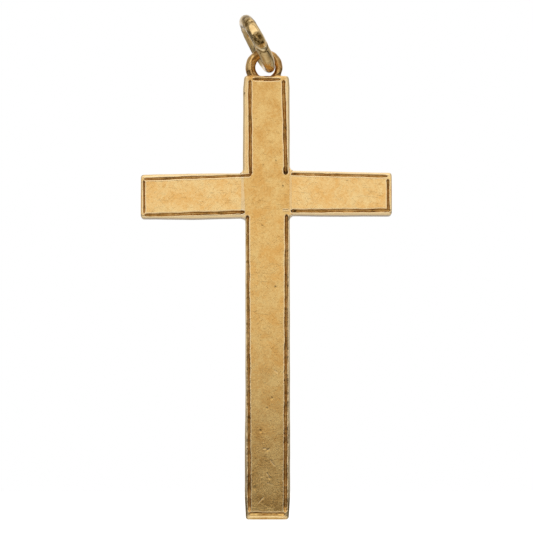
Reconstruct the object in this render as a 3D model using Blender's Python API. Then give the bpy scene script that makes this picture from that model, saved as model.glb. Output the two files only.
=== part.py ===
"""A gold cross pendant: a hollow Latin cross of rectangular tube, its hanging loop and its jump ring.

Metres, +Z up the upright, +X to the wearer's left, the engraved front facing -Y.
The origin is where a chain bears on the jump ring's inner top. Dimensions are counted from the
crossing's middle on the back face, and the pivot and root empties carry them to the origin.
"""

import math

import bmesh
import bpy
from mathutils import Matrix, Vector

MM = 0.001

# Driving dimensions of the hollow cross
THICKNESS = 2.0 * MM
WALL = 0.35 * MM
CORNER_RADIUS = 0.34 * MM
TOP = 12.25 * MM
FOOT = -32.75 * MM
JOINT_GAP = 0.03 * MM

# The upright narrows below the arms, between these heights above and below the crossing's middle
CROSSING_BEND = 2.4 * MM

# The upright's outer section, from the foot up: height, then the reach to each side of X = 0
UPRIGHT_STATIONS = (
    (FOOT, 2.00 * MM, 2.14 * MM),
    (FOOT + 0.25 * MM, 2.08 * MM, 2.25 * MM),
    (FOOT + 2.2 * MM, 2.18 * MM, 2.37 * MM),
    (-26.0 * MM, 2.18 * MM, 2.38 * MM),
    (-20.0 * MM, 2.13 * MM, 2.37 * MM),
    (-CROSSING_BEND, 2.15 * MM, 2.37 * MM),
    (CROSSING_BEND, 2.40 * MM, 2.37 * MM),
    (TOP - 1.2 * MM, 2.38 * MM, 2.36 * MM),
    (TOP - 0.25 * MM, 2.28 * MM, 2.28 * MM),
    (TOP, 2.20 * MM, 2.19 * MM),
)

# Each arm's outer section, from the upright out: distance from X = 0, then the bottom and the top edge
ARM_START = {"left": 2.53 * MM, "right": 2.53 * MM}
ARM_REACH = {"left": 12.76 * MM, "right": 12.72 * MM}
ARM_EDGES = {
    "left": ((-2.22 * MM, 2.27 * MM), (-2.34 * MM, 2.24 * MM), (-2.30 * MM, 2.12 * MM)),
    "right": ((-1.98 * MM, 2.55 * MM), (-2.02 * MM, 2.42 * MM), (-2.00 * MM, 2.32 * MM)),
}

# The plugs that close the tube ends, and the gas vents that soldering a hollow cross needs
PLUG_DEPTH = 0.5 * MM
ARM_VENT_RADIUS = 0.4 * MM
FOOT_VENT_RADIUS = 0.2 * MM

# The graver's lines
GROOVE_WIDTH = 0.28 * MM
GROOVE_DEPTH = 0.13 * MM
GROOVE_TAPER = 0.35 * MM

# The fillet of solder in each inner corner of the crossing
FILLET_RADIUS = 0.42 * MM
FILLET_STEPS = 5

# The soldered hanging loop, whose hole reaches down to the top plug
LOOP_CENTRE = Vector((-0.26 * MM, -THICKNESS / 2, TOP + 1.00 * MM))
LOOP_OUTER_RADIUS = 1.91 * MM
LOOP_WIRE = {"left": 0.52 * MM, "top": 0.44 * MM, "right": 0.39 * MM}
FOOT_SOLDER_HEIGHT = 0.14 * MM
FOOT_SOLDER_WIDTH = 0.12 * MM
FOOT_SOLDER_SHIFT = 0.12 * MM

# The jump ring, which leans through the loop
RING_RADIUS = 2.64 * MM
RING_WIRE = 0.655 * MM
RING_CENTRE = Vector((-0.91 * MM, -THICKNESS / 2 - 1.107 * MM, TOP + 3.209 * MM))
RING_LEAN = math.radians(27.5)
RING_TURN = math.radians(1.8)
RING_JOINT_ANGLE = math.radians(76)
RING_JOINT_WIDTH = 0.16 * MM
RING_SOLDER_BULGE = 0.03 * MM

# The ring's lower part is worn thinner where it bears on the loop: angles from its lowest point, towards the front
RING_WORN_WIRE = 0.545 * MM
RING_WEAR_START = (math.radians(-85), math.radians(-45))
RING_WEAR_END = (math.radians(5), math.radians(38))

# The cross swings about this line, parallel to Y, where the ring passes through the loop
SWING_PIVOT = Vector((0.02 * MM, -THICKNESS / 2, TOP + 1.033 * MM))

MATERIALS = {
    "gold_sheet": ((0.79, 0.52, 0.19, 1), 0.26),
    "gold_wire": ((0.72, 0.54, 0.26, 1), 0.20),
    "gold_solder": ((0.84, 0.66, 0.38, 1), 0.32),
}


def clear_scene():
    for old in list(bpy.data.objects):
        bpy.data.objects.remove(old)


def make_material(name):
    colour, roughness = MATERIALS[name]
    material = bpy.data.materials.new(name)
    material.use_nodes = True
    shader = material.node_tree.nodes["Principled BSDF"]
    shader.inputs["Base Color"].default_value = colour
    shader.inputs["Metallic"].default_value = 1.0
    shader.inputs["Roughness"].default_value = roughness
    return material


def add_object(name, mesh_builder, material=None):
    """Turns a bmesh into a named object, with its faces pointing outwards."""
    bmesh.ops.recalc_face_normals(mesh_builder, faces=mesh_builder.faces)
    mesh = bpy.data.meshes.new(name)
    mesh_builder.to_mesh(mesh)
    mesh_builder.free()
    obj = bpy.data.objects.new(name, mesh)
    bpy.context.collection.objects.link(obj)
    if material:
        mesh.materials.append(material)
        mesh.shade_smooth()
        mesh.set_sharp_from_angle(angle=math.radians(35))
    else:
        obj.hide_render = True
        obj.display_type = "WIRE"
    return obj


def move_origin(obj, point):
    """Puts the object's origin at a point and leaves its shape in place."""
    obj.data.transform(Matrix.Translation(-point))
    obj.location = point


def boolean(obj, cutter, operation="DIFFERENCE"):
    modifier = obj.modifiers.new(cutter.name, "BOOLEAN")
    modifier.operation = operation
    modifier.object = cutter


def rounded_rectangle(low_u, high_u, low_v, high_v, radius, steps=3):
    """Corner points of a rectangle with round corners, in order round its edge."""
    corners = (
        (high_u - radius, high_v - radius, 0),
        (low_u + radius, high_v - radius, 90),
        (low_u + radius, low_v + radius, 180),
        (high_u - radius, low_v + radius, 270),
    )
    points = []
    for u, v, start in corners:
        for step in range(steps + 1):
            angle = math.radians(start + 90 * step / steps)
            points.append((u + radius * math.cos(angle), v + radius * math.sin(angle)))
    return points


def add_ring(builder, points):
    return [builder.verts.new(p) for p in points]


def join_rings(builder, first, second):
    count = len(first)
    for i in range(count):
        j = (i + 1) % count
        builder.faces.new((first[i], first[j], second[j], second[i]))


def tube(sections, place):
    """A hollow bar. sections are (distance along, low edge, high edge); place turns (u, v, distance) to a point."""
    builder = bmesh.new()
    bore_low = max(low for _, low, _ in sections) + WALL
    bore_high = min(high for _, _, high in sections) - WALL
    bore = rounded_rectangle(bore_low, bore_high, -THICKNESS + WALL, -WALL, CORNER_RADIUS / 2)
    skins = []
    for distance, low, high in sections:
        outline = rounded_rectangle(low, high, -THICKNESS, 0, CORNER_RADIUS)
        outer = add_ring(builder, [place(u, v, distance) for u, v in outline])
        inner = add_ring(builder, [place(u, v, distance) for u, v in bore])
        skins.append((outer, inner))
    for (outer, inner), (next_outer, next_inner) in zip(skins, skins[1:]):
        join_rings(builder, outer, next_outer)
        join_rings(builder, next_inner, inner)
    join_rings(builder, skins[0][1], skins[0][0])
    join_rings(builder, skins[-1][0], skins[-1][1])
    return builder, (bore_low, bore_high)


def groove_cutter(name, start, end):
    """A boat-shaped cutter for one stroke of the graver along the front face, from start to end as (x, z)."""
    first, last = Vector((start[0], 0, start[1])), Vector((end[0], 0, end[1]))
    along = (last - first).normalized()
    across = Vector((-along.z, 0, along.x))
    above = Vector((0, -THICKNESS - 0.1 * MM, 0))
    below = Vector((0, -THICKNESS + GROOVE_DEPTH, 0))
    half = GROOVE_WIDTH / 2 * (GROOVE_DEPTH + 0.1 * MM) / GROOVE_DEPTH
    points = [first + above, last + above]
    for point, inwards in ((first, along), (last, -along)):
        shoulder = point + inwards * GROOVE_TAPER
        points += [shoulder + above + across * half, shoulder + above - across * half, shoulder + below]
    builder = bmesh.new()
    add_ring(builder, points)
    bmesh.ops.convex_hull(builder, input=builder.verts)
    return add_object(name, builder)


def drill(name, centre, direction, radius, length):
    """A round cutter along a direction."""
    builder = bmesh.new()
    turn = Vector((0, 0, 1)).rotation_difference(direction).to_matrix().to_4x4()
    bmesh.ops.create_cone(
        builder, cap_ends=True, segments=16, radius1=radius, radius2=radius, depth=length,
        matrix=Matrix.Translation(centre) @ turn,
    )
    return add_object(name, builder)


def end_plug(name, place, bore, inner, outer, material):
    """The plate that closes one end of a tube, let in flush with the end."""
    builder = bmesh.new()
    low, high = bore[0] + JOINT_GAP, bore[1] - JOINT_GAP
    outline = rounded_rectangle(
        low, high, -THICKNESS + WALL + JOINT_GAP, -WALL - JOINT_GAP, CORNER_RADIUS / 2
    )
    rings = [add_ring(builder, [place(u, v, d) for u, v in outline]) for d in (inner, outer)]
    join_rings(builder, rings[0], rings[1])
    builder.faces.new(rings[0])
    builder.faces.new(rings[1])
    return add_object(name, builder, material)


def build_upright(material):
    def place(u, v, distance):
        return Vector((u, v, distance))

    sections = [(z, -left, right) for z, left, right in UPRIGHT_STATIONS]
    builder, bore = tube(sections, place)
    upright = add_object("upright_tube", builder, material)
    strokes = {
        "upper_left": ((-1.66 * MM, TOP - 0.62 * MM), (-1.70 * MM, 2.15 * MM)),
        "upper_right": ((1.70 * MM, TOP - 0.62 * MM), (1.92 * MM, 2.2 * MM)),
        "lower_left": ((-1.90 * MM, -2.2 * MM), (-1.80 * MM, FOOT + 0.75 * MM)),
        "lower_right": ((1.98 * MM, -2.0 * MM), (1.86 * MM, FOOT + 0.75 * MM)),
        "top": ((-1.58 * MM, TOP - 0.36 * MM), (1.52 * MM, TOP - 0.34 * MM)),
        "foot": ((-1.68 * MM, FOOT + 0.52 * MM), (1.76 * MM, FOOT + 0.52 * MM)),
    }
    for name, (start, end) in strokes.items():
        boolean(upright, groove_cutter("graver_upright_" + name, start, end))
    for side, sign in (("left", -1), ("right", 1)):
        centre = Vector((sign * side_reach(side, 0), -THICKNESS / 2, 0))
        vent = drill("vent_drill_" + side, centre, Vector((1, 0, 0)), ARM_VENT_RADIUS, 3 * WALL)
        boolean(upright, vent)
    end_plug("top_end_plug", place, bore, TOP - PLUG_DEPTH, TOP, material)
    foot = end_plug("foot_end_plug", place, bore, FOOT + PLUG_DEPTH, FOOT, material)
    centre = Vector((0, -THICKNESS / 2, FOOT))
    boolean(foot, drill("foot_vent_drill", centre, Vector((0, 0, 1)), FOOT_VENT_RADIUS, 3 * PLUG_DEPTH))


def arm_sections(side):
    """(distance from X = 0, bottom, top) along one arm, from the solder seam to its end."""
    inner, outer = ARM_START[side], ARM_REACH[side]
    edges = ARM_EDGES[side]
    end_round = 0.1 * MM
    return (
        (inner, *edges[0]),
        ((inner + outer) / 2, *edges[1]),
        (outer - 0.25 * MM, *edges[2]),
        (outer, edges[2][0] + end_round, edges[2][1] - end_round),
    )


def build_arm(side, sign, material):
    def place(u, v, distance):
        return Vector((sign * distance, v, u))

    builder, bore = tube(arm_sections(side), place)
    arm = add_object(side + "_arm_tube", builder, material)
    inner, outer = ARM_START[side], ARM_REACH[side]
    bottom, top = ARM_EDGES[side][2]
    near_bottom, near_top = ARM_EDGES[side][0]
    rim = 0.36 * MM
    strokes = {
        "top": ((sign * inner, near_top - 0.30 * MM), (sign * (outer - 0.62 * MM), top - rim)),
        "bottom": ((sign * inner, near_bottom + 0.46 * MM), (sign * (outer - 0.55 * MM), bottom + 0.40 * MM)),
        "end": ((sign * (outer - rim), top - 0.55 * MM), (sign * (outer - rim), bottom + 0.45 * MM)),
    }
    for name, (start, end) in strokes.items():
        boolean(arm, groove_cutter("graver_" + side + "_arm_" + name, start, end))
    end_plug(side + "_end_plug", place, bore, outer - PLUG_DEPTH, outer, material)
    return bore


def side_reach(side, z):
    """How far the upright's side is from X = 0 at one height, within its straight middle stations."""
    column = 1 if side == "left" else 2
    for lower, upper in zip(UPRIGHT_STATIONS, UPRIGHT_STATIONS[1:]):
        if lower[0] <= z <= upper[0]:
            share = (z - lower[0]) / (upper[0] - lower[0])
            return lower[column] + share * (upper[column] - lower[column])
    return None


def build_seam(side, sign, bore, material):
    """The solder that joins an arm to the upright: a thin frame with a fillet in each inner corner."""
    bottom, top = ARM_EDGES[side][0]
    outline = fillet_profile(side, top, 1) + fillet_profile(side, bottom, -1)[::-1]
    builder = bmesh.new()
    front_and_back = (-THICKNESS + 0.04 * MM, -0.04 * MM)
    rings = [add_ring(builder, [Vector((sign * x, y, z)) for x, z in outline]) for y in front_and_back]
    join_rings(builder, rings[0], rings[1])
    builder.faces.new(rings[0])
    builder.faces.new(rings[1])
    seam = add_object(side + "_arm_solder_seam", builder, material)
    passage = bmesh.new()
    size = Vector((2 * MM, THICKNESS - 2 * WALL, bore[1] - bore[0]))
    centre = Vector((sign * ARM_START[side], -THICKNESS / 2, (bore[0] + bore[1]) / 2))
    bmesh.ops.create_cube(passage, size=1, matrix=Matrix.Translation(centre) @ Matrix.Diagonal(size).to_4x4())
    boolean(seam, add_object("bore_cutter_" + side, passage))


def fillet_profile(side, edge, direction):
    """Half of the seam's outline: along the upright's side, then a hollow quarter round down to the arm."""
    edge += direction * JOINT_GAP
    bend = direction * CROSSING_BEND
    tip = edge + direction * FILLET_RADIUS
    near = side_reach(side, tip) + JOINT_GAP
    far = ARM_START[side] - JOINT_GAP
    points = [(side_reach(side, bend) + JOINT_GAP, bend), (near, tip)]
    for step in range(1, FILLET_STEPS + 1):
        angle = math.radians(90 * step / FILLET_STEPS)
        x = near + FILLET_RADIUS * (1 - math.cos(angle))
        z = edge + direction * FILLET_RADIUS * (1 - math.sin(angle))
        points.append((x, z))
    toe = edge - direction * JOINT_GAP / 2
    points += [(near + FILLET_RADIUS, toe), (far, toe)]
    return points


def wire_arc(centre, across, up, radius, wire, start, end, steps, sides=14):
    """A bent round wire about a centre; radius and wire are functions of the angle from across towards up."""
    builder = bmesh.new()
    axis = across.cross(up)
    closed = end - start > 2 * math.pi - 1e-6
    rings = []
    for step in range(steps if closed else steps + 1):
        angle = start + (end - start) * step / steps
        outwards = across * math.cos(angle) + up * math.sin(angle)
        middle = centre + outwards * radius(angle)
        thickness = wire(angle)
        points = []
        for side in range(sides):
            turn = 2 * math.pi * side / sides
            points.append(middle + thickness * (outwards * math.cos(turn) + axis * math.sin(turn)))
        rings.append(add_ring(builder, points))
    for first, second in zip(rings, rings[1:]):
        join_rings(builder, first, second)
    if closed:
        join_rings(builder, rings[-1], rings[0])
    else:
        builder.faces.new(rings[0])
        builder.faces.new(rings[-1])
    return builder


def loop_wire(angle):
    """The loop's wire radius, thickest in its left leg; the outside stays round."""
    middle = (LOOP_WIRE["left"] + LOOP_WIRE["right"]) / 2
    swing = (LOOP_WIRE["left"] - LOOP_WIRE["right"]) / 2
    return middle - swing * math.cos(angle) - (middle - LOOP_WIRE["top"]) * max(0.0, math.sin(angle))


def loop_radius(angle):
    return LOOP_OUTER_RADIUS - loop_wire(angle)


def smooth_step(value, low, high):
    share = min(max((value - low) / (high - low), 0.0), 1.0)
    return share * share * (3 - 2 * share)


def ring_wire(angle):
    """The jump ring's wire radius, less where the loop has worn it."""
    angle = (angle + math.pi) % (2 * math.pi) - math.pi
    wear = smooth_step(angle, *RING_WEAR_START) * (1 - smooth_step(angle, *RING_WEAR_END))
    return RING_WIRE - (RING_WIRE - RING_WORN_WIRE) * wear


def build_loop(wire_material, solder_material):
    """The hanging loop, filed flat at the top of the cross, and the solder round its two feet."""
    x_axis, z_axis = Vector((1, 0, 0)), Vector((0, 0, 1))
    full_turn = 2 * math.pi
    builder = wire_arc(LOOP_CENTRE, x_axis, z_axis, loop_radius, loop_wire, 0, full_turn, 40)
    loop = add_object("hanging_loop", builder, wire_material)
    builder = bmesh.new()
    size = 6 * MM
    centre = Vector((LOOP_CENTRE.x, LOOP_CENTRE.y, TOP + JOINT_GAP - size / 2))
    bmesh.ops.create_cube(builder, size=size, matrix=Matrix.Translation(centre))
    file_cut = add_object("file_cut", builder)
    boolean(loop, file_cut)
    builder = wire_arc(
        LOOP_CENTRE, x_axis, z_axis, loop_radius, lambda angle: loop_wire(angle) + JOINT_GAP, 0, full_turn, 40
    )
    loop_space = add_object("loop_space", builder)
    for side, sign in (("left", -1), ("right", 1)):
        builder = bmesh.new()
        radius = LOOP_OUTER_RADIUS - LOOP_WIRE[side]
        foot_x = math.sqrt(radius**2 - (LOOP_CENTRE.z - TOP) ** 2)
        reach = LOOP_WIRE[side] + FOOT_SOLDER_WIDTH
        base_x = LOOP_CENTRE.x + sign * (foot_x + FOOT_SOLDER_SHIFT)
        base = Vector((base_x, LOOP_CENTRE.y, TOP + JOINT_GAP))
        bmesh.ops.create_cone(
            builder, cap_ends=True, segments=20, radius1=reach + 0.04 * MM, radius2=reach - 0.06 * MM,
            depth=FOOT_SOLDER_HEIGHT,
            matrix=Matrix.Translation(base + z_axis * FOOT_SOLDER_HEIGHT / 2) @ Matrix.Scale(1.32, 4, x_axis),
        )
        solder = add_object(side + "_loop_foot_solder", builder, solder_material)
        boolean(solder, loop_space)
    return loop


def ring_axes():
    """The jump ring's own directions: down its lean, and towards the front."""
    down = Vector((math.sin(RING_LEAN), 0, -math.cos(RING_LEAN)))
    across = Vector((math.cos(RING_LEAN), 0, math.sin(RING_LEAN)))
    front = Vector((0, -math.cos(RING_TURN), 0)) + across * math.sin(RING_TURN)
    return down, front


def build_ring(wire_material, solder_material):
    """The jump ring, and the solder that closes its saw cut."""
    down, front = ring_axes()
    half_cut = RING_JOINT_WIDTH / 2 / RING_RADIUS
    start = RING_JOINT_ANGLE + half_cut
    builder = wire_arc(
        RING_CENTRE, down, front, lambda angle: RING_RADIUS, ring_wire, start, start + 2 * math.pi - 2 * half_cut, 60
    )
    ring = add_object("jump_ring", builder, wire_material)
    half_solder = half_cut - JOINT_GAP / (RING_RADIUS - RING_WIRE)
    builder = wire_arc(
        RING_CENTRE, down, front, lambda angle: RING_RADIUS, lambda angle: RING_WIRE + RING_SOLDER_BULGE,
        RING_JOINT_ANGLE - half_solder, RING_JOINT_ANGLE + half_solder, 2,
    )
    solder = add_object("jump_ring_solder", builder, solder_material)
    for piece in (ring, solder):
        move_origin(piece, RING_CENTRE)
    return ring, solder


def chain_point():
    """The lowest point of the ring's inner top, where a chain bears."""
    down, _ = ring_axes()
    return RING_CENTRE - down * (RING_RADIUS - RING_WIRE)


def add_pivot(name, point, parent=None):
    pivot = bpy.data.objects.new(name, None)
    bpy.context.collection.objects.link(pivot)
    pivot.empty_display_size = 1 * MM
    pivot.location = point
    pivot.parent = parent
    return pivot


def main():
    clear_scene()
    materials = {name: make_material(name) for name in MATERIALS}
    build_upright(materials["gold_sheet"])
    for side, sign in (("left", -1), ("right", 1)):
        bore = build_arm(side, sign, materials["gold_sheet"])
        build_seam(side, sign, bore, materials["gold_solder"])
    build_loop(materials["gold_wire"], materials["gold_solder"])
    cross_pieces = list(bpy.context.collection.objects)
    ring_pieces = build_ring(materials["gold_wire"], materials["gold_solder"])
    pendant = add_pivot("pendant_root", -chain_point())
    swing = add_pivot("cross_swing", SWING_PIVOT, pendant)
    for piece in ring_pieces:
        piece.parent = pendant
    for piece in cross_pieces:
        piece.parent = swing
        piece.location -= SWING_PIVOT


main()
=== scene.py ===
import math

import bmesh
import bpy
import numpy as np
from mathutils import Matrix, Vector


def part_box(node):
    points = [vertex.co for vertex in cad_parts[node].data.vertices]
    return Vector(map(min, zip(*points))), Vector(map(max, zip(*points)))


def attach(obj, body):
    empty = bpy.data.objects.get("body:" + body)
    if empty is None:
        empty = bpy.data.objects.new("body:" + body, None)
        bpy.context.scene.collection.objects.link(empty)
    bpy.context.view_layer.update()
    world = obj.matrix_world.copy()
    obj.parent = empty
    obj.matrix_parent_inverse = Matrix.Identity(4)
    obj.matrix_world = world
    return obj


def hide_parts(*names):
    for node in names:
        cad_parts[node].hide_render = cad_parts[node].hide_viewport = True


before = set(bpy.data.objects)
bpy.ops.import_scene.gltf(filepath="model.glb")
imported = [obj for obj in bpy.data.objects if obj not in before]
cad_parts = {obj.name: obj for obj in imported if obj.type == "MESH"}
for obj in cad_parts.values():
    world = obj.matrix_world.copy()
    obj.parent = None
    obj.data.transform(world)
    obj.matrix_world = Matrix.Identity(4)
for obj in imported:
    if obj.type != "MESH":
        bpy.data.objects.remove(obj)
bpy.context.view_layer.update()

mm = 0.001
print("frame loaded")

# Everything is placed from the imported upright: the crossing's middle on the back face
# is the zero of the drawings below, which are in millimetres
topZ = 12.25
footZ = -32.75
widestLeft = 2.40  # from the upright's axis to its left side at its widest
uprightLow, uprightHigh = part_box("upright_tube")
axisX = uprightLow.x + widestLeft * mm
crossZ = uprightHigh.z - topZ * mm
backY = uprightHigh.y
thickness = (backY - uprightLow.y) / mm


def toFrame(x, y, z):
    # drawing millimetres, y counted from the back face, to the frame's metres
    return Vector((axisX + x * mm, backY + y * mm, crossZ + z * mm))


# ---- colour and nodes

def linear(hexColour):
    channels = [int(hexColour[i:i + 2], 16) / 255 for i in (0, 2, 4)]
    return [c / 12.92 if c <= 0.04045 else ((c + 0.055) / 1.055) ** 2.4 for c in channels] + [1.0]


def addNode(tree, kind, settings=None, inputs=None, links=None):
    # settings: the node's own properties; inputs: socket values; links: sockets of other nodes
    node = tree.nodes.new(kind)
    for key, value in (settings or {}).items():
        setattr(node, key, value)
    for key, value in (inputs or {}).items():
        node.inputs[key].default_value = value
    for key, socket in (links or {}).items():
        tree.links.new(socket, node.inputs[key])
    return node


def feed(tree, socket, value):
    # a socket takes either another node's output or a plain value
    if isinstance(value, bpy.types.NodeSocket):
        tree.links.new(value, socket)
    else:
        socket.default_value = value


def mixColour(tree, factor, first, second, blend="MIX"):
    node = addNode(tree, "ShaderNodeMix", {"data_type": "RGBA", "blend_type": blend})
    for index, value in ((0, factor), (6, first), (7, second)):  # the colour mix's own sockets
        feed(tree, node.inputs[index], value)
    return node.outputs[2]


def combine(tree, operation, first, second):
    node = addNode(tree, "ShaderNodeMath", {"operation": operation})
    for socket, value in zip(node.inputs, (first, second)):
        feed(tree, socket, value)
    return node.outputs["Value"]


def remap(tree, value, start, end, low=0.0, high=1.0, smooth=False):
    return addNode(tree, "ShaderNodeMapRange", {"interpolation_type": "SMOOTHSTEP" if smooth else "LINEAR"},
                   {"From Min": start, "From Max": end, "To Min": low, "To Max": high},
                   {"Value": value}).outputs["Result"]


def ramp(tree, factor, stops):
    node = addNode(tree, "ShaderNodeValToRGB", links={"Fac": factor})
    elements = node.color_ramp.elements
    while len(elements) < len(stops):
        elements.new(0.5)
    for element, (position, colour) in zip(elements, stops):
        element.position = position
        element.color = colour
    return node.outputs["Color"]


def grey(value):
    return [value, value, value, 1.0]


def greyRamp(tree, factor, stops):
    return ramp(tree, factor, [(position, grey(value)) for position, value in stops])


# ---- camera, floor and light

studio = {
    "distance": 255.0,  # mm from the cross to the lens
    "elevation": -5.0,  # degrees, the lens a little below the middle
    "frameHeight": 53.94,  # mm of the front face that the picture takes in
    "targetDown": 19.51,  # mm from the cross's top edge to the picture's middle
    "floorGap": 3.0,  # mm of air under the foot
    "floorReach": 3.0,  # metres from the middle to each side
    "floorColour": "f4f3f1",
    "floorGlow": 0.55,
    "tentStrength": 1.2,
}
softboxes = [
    # name, place from the target in metres, size, power, colour
    ("keySoftbox", (-0.12, -0.45, 0.36), (0.5, 0.3), 0.35, (1, 0.97, 0.92)),
    ("topSoftbox", (0.1, 0.1, 0.55), (0.5, 0.5), 0.48, (1, 0.98, 0.95)),
]
tentWalls = {
    # share of the way up or across, brightness
    "front": [(0.02, 0.72), (0.37, 0.50), (0.43, 0.12), (0.501, 0.08), (0.519, 0.72), (0.535, 1.0),
              (0.557, 0.90), (0.577, 0.74), (0.70, 0.62), (0.95, 0.55)],
    "side": [(0.2, 1.0), (0.45, 0.88), (0.72, 0.80), (0.9, 0.55), (0.99, 0.34)],
    "back": [(0.05, 0.46), (0.72, 0.52), (0.93, 0.85)],
    "backHeight": [(0.35, 0.9), (0.40, 0.32), (0.47, 0.32), (0.54, 1.0)],
    "switch": [(0.0, 0.0), (0.06, 1.0)],  # from the front walls to the back ones
}


def aim(name, data, location, target):
    rig = bpy.data.objects.new(name, data)
    bpy.context.scene.collection.objects.link(rig)
    rig.location = location
    rig.rotation_euler = (target - rig.location).to_track_quat("-Z", "Y").to_euler()
    return rig


def makeCamera(target):
    tilt = math.radians(studio["elevation"])
    distance = studio["distance"] * mm
    camera = bpy.data.cameras.new("camera")
    camera.sensor_fit = "HORIZONTAL"
    camera.angle = 2 * math.atan(studio["frameHeight"] / 2 / studio["distance"])
    camera.clip_start = 0.01
    camera.clip_end = 20
    place = target + distance * Vector((0, -math.cos(tilt), math.sin(tilt)))
    bpy.context.scene.camera = aim("camera", camera, place, target)


def areaLight(name, location, target, size, power, colour):
    light = bpy.data.lights.new(name, "AREA")
    light.shape = "RECTANGLE"
    light.size = size[0]
    light.size_y = size[1]
    light.energy = power
    light.color = colour
    aim(name, light, location, target)


def makeFloor():
    floorMesh = bpy.data.meshes.new("studioFloor")
    height = crossZ + (footZ - studio["floorGap"]) * mm
    reach = studio["floorReach"]
    corners = [(x * reach, y * reach, height) for x, y in ((-1, -1), (1, -1), (1, 1), (-1, 1))]
    floorMesh.from_pydata(corners, [], [(0, 1, 2, 3)])
    floor = bpy.data.objects.new("studioFloor", floorMesh)
    bpy.context.scene.collection.objects.link(floor)
    # white paper sweep: a matt ground that stays white under the cross
    paper = bpy.data.materials.new("whitePaperFloor")
    paper.use_nodes = True
    shader = paper.node_tree.nodes["Principled BSDF"]
    shader.inputs["Base Color"].default_value = linear(studio["floorColour"])
    shader.inputs["Roughness"].default_value = 0.9
    shader.inputs["Emission Color"].default_value = linear("ffffff")
    shader.inputs["Emission Strength"].default_value = studio["floorGlow"]
    floorMesh.materials.append(paper)
    floor.visible_glossy = False  # the gold mirrors the tent's walls instead


def makeTent():
    # walls of light that the gold mirrors; the lens itself sees plain white
    world = bpy.data.worlds.new("lightTent")
    bpy.context.scene.world = world
    world.use_nodes = True
    tree = world.node_tree
    tree.nodes.clear()
    direction = addNode(tree, "ShaderNodeTexCoord")
    axes = addNode(tree, "ShaderNodeSeparateXYZ", links={"Vector": direction.outputs["Generated"]})
    level = remap(tree, axes.outputs["Z"], -1, 1)
    sideways = combine(tree, "ABSOLUTE", axes.outputs["X"], 0.0)
    behind = axes.outputs["Y"]
    # behind the lens: dark below the horizon, brightest a little above it, dimmer overhead
    inFront = mixColour(tree, 1.0, greyRamp(tree, level, tentWalls["front"]),
                        greyRamp(tree, sideways, tentWalls["side"]), "MULTIPLY")
    # past the cross: dim at the edges and bright straight behind, so a turned back still shows
    atBack = mixColour(tree, 1.0, greyRamp(tree, behind, tentWalls["back"]),
                       greyRamp(tree, level, tentWalls["backHeight"]), "MULTIPLY")
    tent = mixColour(tree, greyRamp(tree, behind, tentWalls["switch"]), inFront, atBack)
    lit = addNode(tree, "ShaderNodeBackground", inputs={"Strength": studio["tentStrength"]}, links={"Color": tent})
    seen = addNode(tree, "ShaderNodeBackground", inputs={"Color": grey(1.0), "Strength": 1.0})
    rays = addNode(tree, "ShaderNodeLightPath")
    both = addNode(tree, "ShaderNodeMixShader", links={
        0: rays.outputs["Is Camera Ray"], 1: lit.outputs[0], 2: seen.outputs[0]})
    addNode(tree, "ShaderNodeOutputWorld", links={"Surface": both.outputs[0]})
    bpy.context.scene.view_settings.view_transform = "Standard"


target = toFrame(0, -thickness, topZ - studio["targetDown"])
makeCamera(target)
makeFloor()
for name, offset, size, power, colour in softboxes:
    areaLight(name, target + Vector(offset), target, size, power, colour)
makeTent()
print("camera, floor and light ready")

# ---- materials

goldSheet = {
    "bright": "f2ca82",
    "deep": "dba85e",
    "speck": "b07c38",
    # pale cream painted on the rims, raised edges and scratches as a highlight
    "rim": "fce3b4",
    # brown for the grime and painted shade in the cuts, black where they are heaviest
    "grime": "b98a48",
    "sootAndShadow": "2b190c",
    "roughness": (0.14, 0.21),
}
goldWear = {
    # pattern sizes in waves to the millimetre
    "clouds": 0.55,  # patches about 2 mm across
    "grain": 5.2,  # a 0.2 mm mottle, coarser than the real one so that it shows
    "cloudShare": 0.62,
    "specks": 7.5,
    "streaks": 2.6,
    "crazing": 1.9,
    "hairlineTurns": (8, 52, 97, 141),  # degrees
    "hairlineCrest": (0.64, 0.71),
    # heights of the finest relief, as shares of bumpDepth
    "grainHeight": 0.34,
    "hairlineDepth": 0.22,
    "speckDepth": 0.3,
    "crazingHeight": 0.6,
    "bumpDepth": 0.000006,
    # wear and painted shade towards the foot: where it starts and is full, in mm under the crossing, and how brown the
    # painted shade gets
    "footWearAndShade": (17.0, 30.0),
    "footShade": ("a8874f", 0.16),
}


def millimetres(tree, turn=(0, 0, 0), stretch=(1, 1, 1)):
    # the piece's own coordinates, one unit to the millimetre, turned and stretched for a pattern's direction
    place = addNode(tree, "ShaderNodeTexCoord")
    scaled = addNode(tree, "ShaderNodeVectorMath", {"operation": "SCALE"}, {"Scale": 1 / mm},
                     {0: place.outputs["Object"]})
    return addNode(tree, "ShaderNodeMapping", {"vector_type": "TEXTURE"},
                   {"Rotation": turn, "Scale": stretch}, {"Vector": scaled.outputs["Vector"]}).outputs["Vector"]


def noise(tree, vector, scale, detail=3.0, roughness=0.55, distortion=0.0):
    return addNode(tree, "ShaderNodeTexNoise", inputs={
        "Scale": scale, "Detail": detail, "Roughness": roughness, "Distortion": distortion},
        links={"Vector": vector}).outputs["Fac"]


def attribute(tree, name):
    return addNode(tree, "ShaderNodeAttribute", {"attribute_name": name}).outputs["Fac"]


def scratches(tree):
    # fine wear lines: noise drawn out along each direction and cut to its crests
    total = None
    for turn in goldWear["hairlineTurns"]:
        vector = millimetres(tree, turn=(0, math.radians(turn), 0), stretch=(0.09, 1, 1.7))
        lines = noise(tree, vector, 1.1, 2.0, 0.6, 0.25)
        crest = remap(tree, lines, *goldWear["hairlineCrest"], smooth=True)
        total = crest if total is None else combine(tree, "MAXIMUM", total, crest)
    return total


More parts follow.
